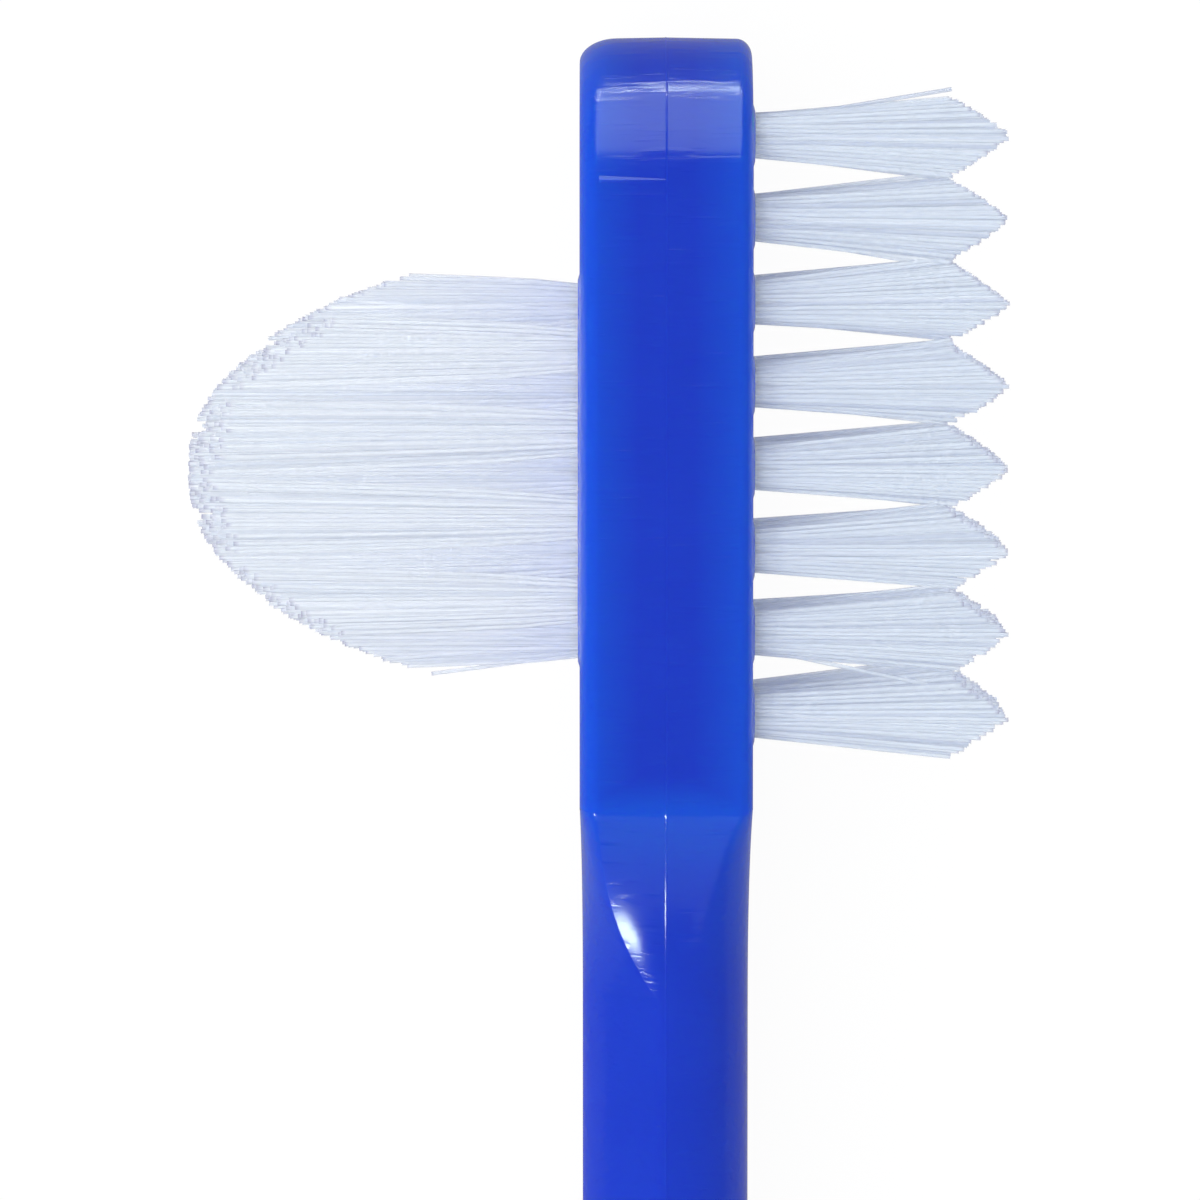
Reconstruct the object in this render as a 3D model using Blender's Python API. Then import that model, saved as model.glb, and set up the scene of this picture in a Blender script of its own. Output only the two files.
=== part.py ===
"""Denture brush: a moulded handle with a field of bristle tufts on each broad face of its head.

The brush lies on its narrow side, as it does on a table. +Y runs along it to the tip of the head, +X is the
side of the short toothed rows, -X is the side of the long domed cluster and +Z is up. The origin is on the
table, under the middle of the head's flat side.

Each tuft is a bundle of filaments folded in half round a flat metal anchor and driven into a blind hole.
"""
import math
from collections import namedtuple

import bmesh
import bpy
from mathutils import Matrix, Vector

MM = 0.001

# Handle: one moulding, with its plan in Y and Z and its thickness in X.
BRUSH_WIDTH = 14.5 * MM  # head and grip are as wide as each other, so the brush lies level
HEAD_THICKNESS = 8.9 * MM
HEAD_FLAT_LENGTH = 32.3 * MM  # between the full round tip and the shoulder
SHOULDER_LENGTH = 10.0 * MM
SHOULDER_BEND_SHARE = 0.06  # of the shoulder, for the tight bend that it starts with
PANEL_POWER = 1.3  # over 1, the domed side's flat panel closes later than the row side's
NECK_WIDTH = 9.0 * MM
NECK_THICKNESS = 8.6 * MM
NECK_LENGTH = 27.0 * MM
SWELL_LENGTH = 26.0 * MM
GRIP_THICKNESS = 10.5 * MM
GRIP_LENGTH = 48.0 * MM
TAIL_LENGTH = 24.0 * MM
BUTT_WIDTH = 12.0 * MM
BUTT_THICKNESS = 8.4 * MM

# Edge rounding of the moulding, on the domed side, on the row side and further down.
DOME_EDGE_RADIUS = 1.4 * MM
ROW_EDGE_RADIUS = 1.0 * MM
NECK_EDGE_RADIUS = 3.8 * MM
GRIP_EDGE_RADIUS = 3.3 * MM
EDGE_LIMIT_SHARE = 0.92  # of the local half width or half thickness
EDGE_STEPS = 4
ARC_STEPS = 8
SHOULDER_STEPS = 14
SHOULDER_STEP_POWER = 1.7  # over 1, the steps lie closer together at the tight bend
NECK_STEPS = 2
SWELL_STEPS = 8
TAIL_STEPS = 5

# Thumb grooves across both broad faces of the grip.
GROOVE_COUNT = 7
GROOVE_PITCH = 4.2 * MM
GROOVE_RADIUS = 2.4 * MM
GROOVE_DEPTH = 0.45 * MM
GROOVE_FIELD_INSET = 5.0 * MM  # from the front of the grip to the first groove
GROOVE_SIDES = 24

# Tuft holes, drilled blind from both broad faces with a web of solid plastic between them.
HOLE_DIAMETER = 2.5 * MM
HOLE_WEB = 1.9 * MM
HOLE_SIDE_WALL = 1.7 * MM  # from the outer holes to the head's side
HOLE_SIDES = 12
CUT_OVERRUN = 1.0 * MM

# Rows of short tufts on +X.
ROW_COUNT = 8
FIRST_ROW_FROM_TIP = 5.1 * MM
LAST_ROW_FROM_SHOULDER = 4.65 * MM
ROW_PEAK_LENGTH = 13.2 * MM
ROW_VALLEY_LENGTH = 10.3 * MM
ROW_STRAND_RINGS = (3, 7)  # strands on the inner and on the outer ring of a tuft

# Domed cluster of long tufts on -X, in staggered columns.
DOME_CENTRE_FROM_TIP = 22.5 * MM
DOME_PITCH = 4.3 * MM
DOME_COLUMN_COUNTS = (4, 5, 4)
DOME_PEAK_LENGTH = 20.4 * MM
DOME_EDGE_LENGTH = 8.7 * MM
DOME_SIDE_DROP = 1.6 * MM  # how much shorter the outer columns are cut
DOME_POWER = 2.3
DOME_STRAND_RINGS = (3, 9)

# One tuft: the folded root in its hole, and the strands that fan out of it.
TUFT_CLEARANCE = 0.1 * MM
TIP_GAP = 0.4 * MM  # between the fanned tips of neighbouring tufts
ROOT_RECESS = 0.3 * MM  # from the mouth of the hole down to where the strands part
ROOT_SIDES = 8
STRAND_WIDTH = 0.34 * MM  # each strand stands for a few filaments
STRAND_EMBED = 0.25 * MM
STRAND_EDGE = 0.06 * MM  # from the outer ring of strands to the root's rim
INNER_RING_SHARE = 0.4  # of the outer ring's radius

# Flat anchor that holds the fold down; its ends bite into the hole's wall across the head.
ANCHOR_BITE_SHARE = 0.14  # of the wall between the holes on both sides of it
ANCHOR_HEIGHT = 1.6 * MM
ANCHOR_THICKNESS = 0.3 * MM
FOLD_THICKNESS = 0.7 * MM  # of the bundle under the anchor

SMOOTH_ANGLE = math.radians(35)
QUARTER_TURN = math.pi / 2
FULL_TURN = 2 * math.pi
COLUMN_NAMES = ("lower", "middle", "upper")

# Places along the brush, worked out from the sizes above.
HEAD_FRONT = HEAD_FLAT_LENGTH / 2
HEAD_BACK = -HEAD_FLAT_LENGTH / 2
TIP = HEAD_FRONT + BRUSH_WIDTH / 2
NECK_FRONT = HEAD_BACK - SHOULDER_LENGTH
NECK_BACK = NECK_FRONT - NECK_LENGTH
GRIP_FRONT = NECK_BACK - SWELL_LENGTH
GRIP_BACK = GRIP_FRONT - GRIP_LENGTH
BUTT_FRONT = GRIP_BACK - TAIL_LENGTH

HOLE_DEPTH = (HEAD_THICKNESS - HOLE_WEB) / 2
HOLE_RADIUS = HOLE_DIAMETER / 2
COLUMN_OFFSET = BRUSH_WIDTH / 2 - HOLE_SIDE_WALL - HOLE_RADIUS
FIRST_ROW = TIP - FIRST_ROW_FROM_TIP
ROW_PITCH = (FIRST_ROW - HEAD_BACK - LAST_ROW_FROM_SHOULDER) / (ROW_COUNT - 1)
DOME_CENTRE = TIP - DOME_CENTRE_FROM_TIP
ROOT_RADIUS = HOLE_RADIUS * math.cos(math.pi / HOLE_SIDES) - TUFT_CLEARANCE
ROOT_REACH = ROOT_RADIUS * math.cos(math.pi / ROOT_SIDES) - STRAND_EDGE
ANCHOR_WIDTH = HOLE_DIAMETER + 2 * ANCHOR_BITE_SHARE * (COLUMN_OFFSET - HOLE_DIAMETER)
ANCHOR_MIDDLE = -HOLE_DEPTH + FOLD_THICKNESS + ANCHOR_HEIGHT / 2
ROW_TIP_RADIUS = (min(ROW_PITCH, COLUMN_OFFSET) - TIP_GAP) / 2
DOME_TIP_RADIUS = (min(DOME_PITCH, math.hypot(DOME_PITCH / 2, COLUMN_OFFSET)) - TIP_GAP) / 2
DOME_HALF_LENGTH = DOME_PITCH * (max(DOME_COLUMN_COUNTS) - 1) / 2 + DOME_TIP_RADIUS

Section = namedtuple("Section", "y half_width half_thickness dome_edge row_edge")


def clear_scene():
    """Remove whatever the file holds."""
    for item in list(bpy.data.objects):
        bpy.data.objects.remove(item)


def plain_material(name, colour, roughness, metallic=0.0):
    """A Principled material of one colour."""
    material = bpy.data.materials.new(name)
    material.use_nodes = True
    shader = material.node_tree.nodes["Principled BSDF"]
    shader.inputs["Base Color"].default_value = (*colour, 1.0)
    shader.inputs["Roughness"].default_value = roughness
    shader.inputs["Metallic"].default_value = metallic
    return material


def mesh_from(bm, name):
    """Turn a bmesh into a mesh with outward faces."""
    bmesh.ops.recalc_face_normals(bm, faces=bm.faces)
    mesh = bpy.data.meshes.new(name)
    bm.to_mesh(mesh)
    bm.free()
    return mesh


def combined(mesh, tool_mesh, operation):
    """The mesh after an exact Boolean with a tool mesh that stands in the same place."""
    base = bpy.data.objects.new("base", mesh)
    tool = bpy.data.objects.new("tool", tool_mesh)
    for item in (base, tool):
        bpy.context.scene.collection.objects.link(item)
    cut = base.modifiers.new("combine", "BOOLEAN")
    cut.solver = "EXACT"
    cut.operation = operation
    cut.object = tool
    evaluated = base.evaluated_get(bpy.context.evaluated_depsgraph_get())
    result = bpy.data.meshes.new_from_object(evaluated)
    for item in (base, tool):
        bpy.data.objects.remove(item)
    return result


def place(name, mesh, material, location, rotation, parent):
    """Put a mesh into the scene as one named piece of the brush."""
    mesh.materials.clear()
    mesh.materials.append(material)
    mesh.shade_smooth()
    mesh.set_sharp_from_angle(angle=SMOOTH_ANGLE)
    piece = bpy.data.objects.new(name, mesh)
    piece.location = location
    piece.rotation_euler = rotation
    piece.parent = parent
    bpy.context.scene.collection.objects.link(piece)
    return piece


# Handle


def ease(share):
    """A share that starts and ends level, and its rate."""
    return share * share * (3 - 2 * share), 6 * share * (1 - share)


def shoulder_ease(share):
    """A share that starts with a tight bend and then slopes down evenly to a level end, and its rate."""
    bend = SHOULDER_BEND_SHARE
    bent = share * share * (1 + bend) / (share + bend)
    bent_rate = (1 + bend) * share * (share + 2 * bend) / (share + bend) ** 2
    return 1 - (1 - bent) ** 2, 2 * (1 - bent) * bent_rate


def section_keys():
    """Sections where the moulding changes shape, from the head to the butt, each with the steps to the next."""
    head = (BRUSH_WIDTH / 2, HEAD_THICKNESS / 2, DOME_EDGE_RADIUS, ROW_EDGE_RADIUS)
    neck = (NECK_WIDTH / 2, NECK_THICKNESS / 2, NECK_EDGE_RADIUS, NECK_EDGE_RADIUS)
    grip = (BRUSH_WIDTH / 2, GRIP_THICKNESS / 2, GRIP_EDGE_RADIUS, GRIP_EDGE_RADIUS)
    butt = (BUTT_WIDTH / 2, BUTT_THICKNESS / 2, GRIP_EDGE_RADIUS, GRIP_EDGE_RADIUS)
    return (
        (Section(HEAD_FRONT, *head), 1),
        (Section(HEAD_BACK, *head), SHOULDER_STEPS),
        (Section(NECK_FRONT, *neck), NECK_STEPS),
        (Section(NECK_BACK, *neck), SWELL_STEPS),
        (Section(GRIP_FRONT, *grip), 1),
        (Section(GRIP_BACK, *grip), TAIL_STEPS),
        (Section(BUTT_FRONT, *butt), 1),
    )


def blend_sections(first, second, share, eased, panel_share):
    """A section between two others; the domed side's edge follows its own share."""
    mixed = {
        field: a + (b - a) * (panel_share if field == "dome_edge" else eased)
        for field, a, b in zip(Section._fields, first, second)
    }
    mixed["y"] = first.y + (second.y - first.y) * share
    return Section(**mixed)


def side_sections():
    """Sections along the straight and swept sides, with the outward normal of the plan at each."""
    keys = section_keys()
    placed = []
    for (first, steps), (second, _) in zip(keys, keys[1:]):
        rise = second.half_width - first.half_width
        length = first.y - second.y
        for step in range(steps):
            share = step / steps
            eased, rate = ease(share)
            panel_share = eased
            if first.y == HEAD_BACK:
                share = share ** SHOULDER_STEP_POWER
                eased, rate = shoulder_ease(share)
                panel_share, _ = ease(share ** PANEL_POWER)
            section = blend_sections(first, second, share, eased, panel_share)
            placed.append((section, Vector((rate * rise / length, 1)).normalized()))
    placed.append((keys[-1][0], Vector((0, 1))))
    return placed


def end_arc(section, direction):
    """Sections round one end of the plan, from the apex to the side, with their normals."""
    radius = section.half_width
    arc = []
    for step in range(ARC_STEPS):
        angle = QUARTER_TURN * step / ARC_STEPS
        normal = Vector((direction * math.cos(angle), math.sin(angle)))
        spot = section._replace(y=section.y + normal.x * radius, half_width=normal.y * radius)
        arc.append((spot, normal))
    return arc


def half_outline():
    """The plan on the +Z side from the apex of the tip to the apex of the butt."""
    sides = side_sections()
    tip = end_arc(sides[0][0], 1)
    butt = end_arc(sides[-1][0], -1)
    return tip + sides + butt[::-1]


def thickness_profile(section, room):
    """Inset and X of every ring across the thickness, from the domed face to the row face."""
    limit = EDGE_LIMIT_SHARE * min(section.half_thickness, room)
    profile = []
    for side, edge in ((-1, section.dome_edge), (1, section.row_edge)):
        radius = min(edge, limit)
        angles = [QUARTER_TURN * step / EDGE_STEPS for step in range(EDGE_STEPS + 1)]
        if side < 0:
            angles.reverse()
        for angle in angles:
            inset = radius * (1 - math.cos(angle))
            profile.append((inset, side * (section.half_thickness - radius + radius * math.sin(angle))))
    return profile


def loop_points(outline):
    """For every ring, its points on the +Z side; the first and the last are the two apexes."""
    rooms = [section.half_width for section, _ in outline]
    end_rooms = (BRUSH_WIDTH / 2, BUTT_WIDTH / 2)
    columns = []
    for index, (section, normal) in enumerate(outline):
        room = rooms[index]
        if index < ARC_STEPS:
            room = end_rooms[0]
        elif index >= len(outline) - ARC_STEPS:
            room = end_rooms[1]
        column = []
        for inset, x in thickness_profile(section, room):
            column.append((x, section.y - normal.x * inset, section.half_width - normal.y * inset))
        columns.append(column)
    return list(zip(*columns))


def handle_blank():
    """The moulding before its holes and grooves: rings of the plan, skinned, with both broad faces closed."""
    rings = loop_points(half_outline())
    bm = bmesh.new()
    loops = []
    for ring in rings:
        upper = [bm.verts.new(point) for point in ring]
        lower = [bm.verts.new((x, y, -z)) for x, y, z in ring[1:-1]]
        loops.append(upper + lower[::-1])
    count = len(loops[0])
    for loop, following in zip(loops, loops[1:]):
        for index in range(count):
            after = (index + 1) % count
            bm.faces.new((loop[index], loop[after], following[after], following[index]))
    for loop in (loops[0], loops[-1]):
        for index in range(count // 2):
            corners = [loop[index], loop[index + 1], loop[-index - 1], loop[-index]]
            unique = [vert for n, vert in enumerate(corners) if vert not in corners[:n]]
            bm.faces.new(unique)
    return mesh_from(bm, "handle_blank")


def across(x, y, z, side):
    """A frame whose local +Z points out of the broad face on the given side, with local Y along the brush."""
    return Matrix.Translation((x, y, z)) @ Matrix.Rotation(side * QUARTER_TURN, 4, "Y")


def hole_cutters(places):
    """Drills for the tuft holes, as (side, y, z), from past the face down to the hole's floor."""
    bm = bmesh.new()
    length = HOLE_DEPTH + CUT_OVERRUN
    for side, y, z in places:
        middle = HEAD_THICKNESS / 2 - HOLE_DEPTH + length / 2
        bmesh.ops.create_cone(
            bm, cap_ends=True, segments=HOLE_SIDES, radius1=HOLE_RADIUS, radius2=HOLE_RADIUS,
            depth=length, matrix=across(side * middle, y, z, side),
        )
    return mesh_from(bm, "hole_cutters")


def slit_cutters(places):
    """Slits that the anchors leave in the walls of the holes, down to the anchor's lower edge."""
    bm = bmesh.new()
    depth = HOLE_DEPTH - FOLD_THICKNESS + TUFT_CLEARANCE
    length = depth + CUT_OVERRUN
    size = (ANCHOR_WIDTH + 2 * TUFT_CLEARANCE, ANCHOR_THICKNESS + 2 * TUFT_CLEARANCE, length)
    for side, y, z in places:
        middle = HEAD_THICKNESS / 2 - depth + length / 2
        frame = across(side * middle, y, z, side) @ Matrix.Diagonal((*size, 1))
        bmesh.ops.create_cube(bm, size=1, matrix=frame)
    return mesh_from(bm, "slit_cutters")


def groove_cutters():
    """Rollers that press the thumb grooves into both broad faces of the grip."""
    bm = bmesh.new()
    for side in (-1, 1):
        x = side * (GRIP_THICKNESS / 2 + GROOVE_RADIUS - GROOVE_DEPTH)
        for index in range(GROOVE_COUNT):
            y = GRIP_FRONT - GROOVE_FIELD_INSET - index * GROOVE_PITCH
            bmesh.ops.create_cone(
                bm, cap_ends=True, segments=GROOVE_SIDES, radius1=GROOVE_RADIUS, radius2=GROOVE_RADIUS,
                depth=BRUSH_WIDTH + CUT_OVERRUN, matrix=Matrix.Translation((x, y, 0)),
            )
    return mesh_from(bm, "groove_cutters")


def handle_mesh(places):
    """The whole moulding with its tuft holes, anchor slits and thumb grooves."""
    mesh = handle_blank()
    for cutters in (hole_cutters(places), slit_cutters(places), groove_cutters()):
        mesh = combined(mesh, cutters, "DIFFERENCE")
    return mesh


# Tufts, in their own frame: the origin at the mouth of the hole, +Z out of it, Y along the brush


def strand_spots(rings):
    """Places of the strands on the root's top, as (place, angle), on an inner and an outer ring."""
    outer = ROOT_REACH - STRAND_WIDTH / 2
    spots = []
    for count, radius in zip(rings, (outer * INNER_RING_SHARE, outer)):
        for index in range(count):
            angle = FULL_TURN * index / count
            spots.append((Vector((radius * math.cos(angle), radius * math.sin(angle))), angle))
    return spots


def strands_mesh(rings, full_length, tip_radius, trim):
    """Square strands on straight lines that fan out evenly, so that none cross, each cut to its trim."""
    growth = (tip_radius / ROOT_REACH - 1) / (full_length + ROOT_RECESS)
    half = STRAND_WIDTH / 2
    square = [Vector((-half, -half)), Vector((half, -half)), Vector((half, half)), Vector((-half, half))]
    bm = bmesh.new()
    for spot, angle in strand_spots(rings):
        corners = [Matrix.Rotation(angle, 2) @ corner for corner in square]
        top_height = trim(spot * tip_radius / ROOT_REACH)
        ends = []
        for height in (-ROOT_RECESS - STRAND_EMBED, top_height):
            centre = spot * (1 + growth * (height + ROOT_RECESS))
            ends.append([bm.verts.new((*(centre + corner), height)) for corner in corners])
        foot, top = ends
        bm.faces.new(foot)
        bm.faces.new(top)
        for index in range(len(corners)):
            after = (index + 1) % len(corners)
            bm.faces.new((foot[index], foot[after], top[after], top[index]))
    return mesh_from(bm, "strands")


def box_mesh(size, centre, name):
    """A box of a given size round a centre."""
    bm = bmesh.new()
    frame = Matrix.Translation(centre) @ Matrix.Diagonal((*size, 1))
    bmesh.ops.create_cube(bm, size=1, matrix=frame)
    return mesh_from(bm, name)


def anchor_mesh():
    """The flat anchor, standing on the fold and reaching across the head."""
    size = (ANCHOR_WIDTH, ANCHOR_THICKNESS, ANCHOR_HEIGHT)
    return box_mesh(size, (0, 0, ANCHOR_MIDDLE), "anchor")


def tunnel_mesh():
    """The space that a separate anchor takes through the folded bundle."""
    size = (
        ANCHOR_WIDTH,
        ANCHOR_THICKNESS + 2 * TUFT_CLEARANCE,
        ANCHOR_HEIGHT + 2 * TUFT_CLEARANCE,
    )
    return box_mesh(size, (0, 0, ANCHOR_MIDDLE), "tunnel")


def root_mesh():
    """The folded root of the bundle, filling its hole up to where the strands part."""
    bm = bmesh.new()
    floor = -HOLE_DEPTH + TUFT_CLEARANCE
    height = -ROOT_RECESS - floor
    frame = Matrix.Translation((0, 0, floor + height / 2))
    turn = Matrix.Rotation(math.pi / ROOT_SIDES, 4, "Z")
    bmesh.ops.create_cone(
        bm, cap_ends=True, segments=ROOT_SIDES, radius1=ROOT_RADIUS, radius2=ROOT_RADIUS,
        depth=height, matrix=frame @ turn,
    )
    return mesh_from(bm, "root")


def tuft_mesh(strands, holds_anchor):
    """A tuft with its strands; with its anchor fused in, or with the space for a separate one."""
    if holds_anchor:
        mesh = combined(root_mesh(), anchor_mesh(), "UNION")
    else:
        mesh = combined(root_mesh(), tunnel_mesh(), "DIFFERENCE")
    return combined(mesh, strands, "UNION")


def row_trim(tip_spot):
    """Length of a short tuft's strand: longest on the middle line of its row."""
    share = abs(tip_spot.y) / ROW_TIP_RADIUS
    return ROW_PEAK_LENGTH - (ROW_PEAK_LENGTH - ROW_VALLEY_LENGTH) * share


def dome_trim(y, z):
    """Length of the domed cluster at a place measured from its middle."""
    along = abs(y) / DOME_HALF_LENGTH
    aside = abs(z) / (COLUMN_OFFSET + HOLE_RADIUS)
    drop = (DOME_PEAK_LENGTH - DOME_EDGE_LENGTH) * along ** DOME_POWER
    return DOME_PEAK_LENGTH - drop - DOME_SIDE_DROP * aside * aside


def row_places():
    """Names and places of the short tufts, from the tip back and from the table up."""
    for row in range(ROW_COUNT):
        for column, column_name in enumerate(COLUMN_NAMES):
            y = FIRST_ROW - row * ROW_PITCH
            z = (column - 1) * COLUMN_OFFSET
            yield f"{row + 1}_{column_name}", y, z


def dome_places():
    """Names and places of the long tufts, from the tip back and from the table up."""
    for column, count in enumerate(DOME_COLUMN_COUNTS):
        for index in range(count):
            y = DOME_CENTRE + ((count - 1) / 2 - index) * DOME_PITCH
            z = (column - 1) * COLUMN_OFFSET
            yield f"{COLUMN_NAMES[column]}_{index + 1}", y, z


def build():
    """Model every piece of the brush."""
    clear_scene()
    blue_plastic = plain_material("blue_polypropylene", (0.013, 0.048, 0.56), 0.28)
    nylon = plain_material("clear_nylon", (0.70, 0.77, 0.88), 0.35)
    brass = plain_material("anchor_brass", (0.72, 0.55, 0.25), 0.3, 1.0)

    brush = bpy.data.objects.new("brush_axis", None)
    brush.location = (0, 0, BRUSH_WIDTH / 2)
    bpy.context.scene.collection.objects.link(brush)

    rows = list(row_places())
    domes = list(dome_places())
    holes = [(1, y, z) for _, y, z in rows] + [(-1, y, z) for _, y, z in domes]
    place("handle", handle_mesh(holes), blue_plastic, (0, 0, 0), (0, 0, 0), brush)

    face = HEAD_THICKNESS / 2
    row_turn = (0, QUARTER_TURN, 0)
    dome_turn = (0, -QUARTER_TURN, 0)
    row_strands = strands_mesh(ROW_STRAND_RINGS, ROW_VALLEY_LENGTH, ROW_TIP_RADIUS, row_trim)
    row_tuft = tuft_mesh(row_strands, True)
    for name, y, z in rows:
        place(f"row_tuft_{name}", row_tuft, nylon, (face, y, z), row_turn, brush)

    anchor = anchor_mesh()
    for name, y, z in domes:
        def trim(tip_spot, y=y, z=z):
            return dome_trim(y - DOME_CENTRE + tip_spot.y, z + tip_spot.x)

        strands = strands_mesh(DOME_STRAND_RINGS, DOME_PEAK_LENGTH, DOME_TIP_RADIUS, trim)
        place(f"dome_tuft_{name}", tuft_mesh(strands, False), nylon, (-face, y, z), dome_turn, brush)
        place(f"dome_anchor_{name}", anchor, brass, (-face, y, z), dome_turn, brush)


build()
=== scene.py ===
"""Looks of a denture brush: one polypropylene moulding with stapled nylon tufts on both faces of its head.

The brush lies on its narrow side: +Y runs to the tip, +X is the side of the short toothed rows, -X the side
of the long domed cluster, and +Z is up. Every length is in metres.
"""
import math
from collections import namedtuple

import bmesh
import bpy
from bpy.props import FloatProperty, FloatVectorProperty, IntProperty, PointerProperty
from mathutils import Matrix, Vector


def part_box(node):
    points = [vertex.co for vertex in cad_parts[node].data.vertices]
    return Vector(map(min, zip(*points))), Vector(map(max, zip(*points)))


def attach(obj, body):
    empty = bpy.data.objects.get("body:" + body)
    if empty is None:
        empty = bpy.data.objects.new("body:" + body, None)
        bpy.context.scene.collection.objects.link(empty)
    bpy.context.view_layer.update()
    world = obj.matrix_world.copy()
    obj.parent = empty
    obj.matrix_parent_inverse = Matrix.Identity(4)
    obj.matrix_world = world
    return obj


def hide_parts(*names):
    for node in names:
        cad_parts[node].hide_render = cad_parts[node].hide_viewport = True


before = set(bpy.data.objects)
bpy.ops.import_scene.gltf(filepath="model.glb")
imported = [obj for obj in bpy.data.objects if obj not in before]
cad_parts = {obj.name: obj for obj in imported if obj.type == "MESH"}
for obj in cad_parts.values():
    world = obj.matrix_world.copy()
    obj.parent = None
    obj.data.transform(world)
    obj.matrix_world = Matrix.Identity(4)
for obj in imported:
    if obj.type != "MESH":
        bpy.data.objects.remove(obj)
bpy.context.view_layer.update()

bl_info = {
    "name": "Denture brush",
    "version": (1, 0, 0),
    "blender": (4, 5, 0),
    "location": "View3D > Sidebar > Denture brush",
    "description": "Moulded handle, folded nylon tufts and brass anchors of a denture brush",
    "category": "Object",
}

MM = 0.001
QUARTER_TURN = math.pi / 2

# The frame's own places: the handle's box, and one hole for each tuft.
HANDLE_LOW, HANDLE_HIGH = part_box("handle")
TIP = HANDLE_HIGH.y
BUTT_END = HANDLE_LOW.y
MIDDLE_HEIGHT = (HANDLE_LOW.z + HANDLE_HIGH.z) / 2
HALF_BRUSH = (HANDLE_HIGH.z - HANDLE_LOW.z) / 2
GRIP_HALF_THICKNESS = (HANDLE_HIGH.x - HANDLE_LOW.x) / 2
SIDES = {"row": 1, "dome": -1}  # of the brush, along X
FIELDS = {
    side: sorted(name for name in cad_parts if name.startswith(f"{side}_tuft_")) for side in SIDES
}

# Steps of the handle's mesh.
EDGE_STEPS = 12
PANEL_STEPS = 8
TIP_STEPS = 32
BUTT_STEPS = 20
HEAD_STEPS = 6
SHOULDER_STEPS = 60
NECK_STEPS = 10
SWELL_STEPS = 24
GRIP_STEPS = 150
TAIL_STEPS = 20
HOLE_SIDES = 36
SMOOTH_ANGLE = math.radians(11)
EMBED = 0.02 * MM  # how deep an added form starts in the moulding

# Points of one folded filament, counted from the fold: the anchor's foot, the mouth of the hole, the tip.
FOOT_AT = 2
MOUTH_AT = 3
TIP_AT = 7
FILAMENT_SIDES = 6
GOLDEN_SHARE = (math.sqrt(5) - 1) / 2
SEEDS_PER_TUFT = 3

# Outputs of a Random Value node by kind, and the sockets of a Mix node that mixes colours.
RANDOM_VECTOR = 0
RANDOM_FLOAT = 1
RANDOM_BOOLEAN = 3
MIX_FIRST = 6
MIX_SECOND = 7
MIX_RESULT = 2

BLUE_SCATTER = (0.1, 0.4, 1.0)  # inside the blue plastic, red light spreads least
EVEN_SCATTER = (1.0, 1.0, 1.0)

Section = namedtuple(
    "Section", "y half_width half_thickness dome_flat dome_drop row_flat row_drop crease tilt"
)

# Each lamp's brightness, then in degrees its turn from the tip towards the domed side, its elevation over
# the table, and its width and height seen from the head. The sill is the window's lower edge.
LAMPS = {
    "sill": (50.0, 0, 10, 60, 0.7),
    "wall": (0.25, 180, 35, 60, 30),
    "window": (5.0, 0, 37, 60, 60),
    "spark": (22.0, 141, 40, 9, 15),
    "ceiling": (2.8, 90, 68, 60, 60),
}

# Each formula is a result, its operation and what it works on: known values or numbers.
# The painted light on the plastic: paler near the broad faces on the head, as light shining through, and
# paler at the shoulder's bend, as a painted sheen.
PAINTED_LIGHT_FORMULAS = (
    ("painted_edge_light", "MULTIPLY", "near_face", "on_head"),
    ("bent", "MULTIPLY", "before_bend", "after_bend"),
    ("painted_light", "MAXIMUM", "painted_edge_light", "bent"),
)


def linear(hex_colour):
    """An sRGB hex colour as linear RGBA."""
    channels = [int(hex_colour[i:i + 2], 16) / 255 for i in (1, 3, 5)]
    return (*(c / 12.92 if c <= 0.04045 else ((c + 0.055) / 1.055) ** 2.4 for c in channels), 1.0)


def length(description, millimetres):
    """A length that a user can change, given in millimetres."""
    return FloatProperty(description=description, default=millimetres * MM, unit="LENGTH", precision=5)


def share(description, default):
    """A factor that a user can change."""
    return FloatProperty(description=description, default=default, precision=3)


def angle(description, degrees):
    """An angle that a user can change, given in degrees."""
    return FloatProperty(description=description, default=math.radians(degrees), unit="ROTATION")


def colour(description, hex_colour):
    """A colour that a user can change, given in sRGB hex."""
    return FloatVectorProperty(
        description=description, default=linear(hex_colour), size=4, min=0, max=1, subtype="COLOR"
    )


def named(group):
    """Name each setting of a group after its identifier."""
    for identifier, setting in group.__annotations__.items():
        setting.keywords["name"] = identifier.replace("_", " ").title()
    return group


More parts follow.
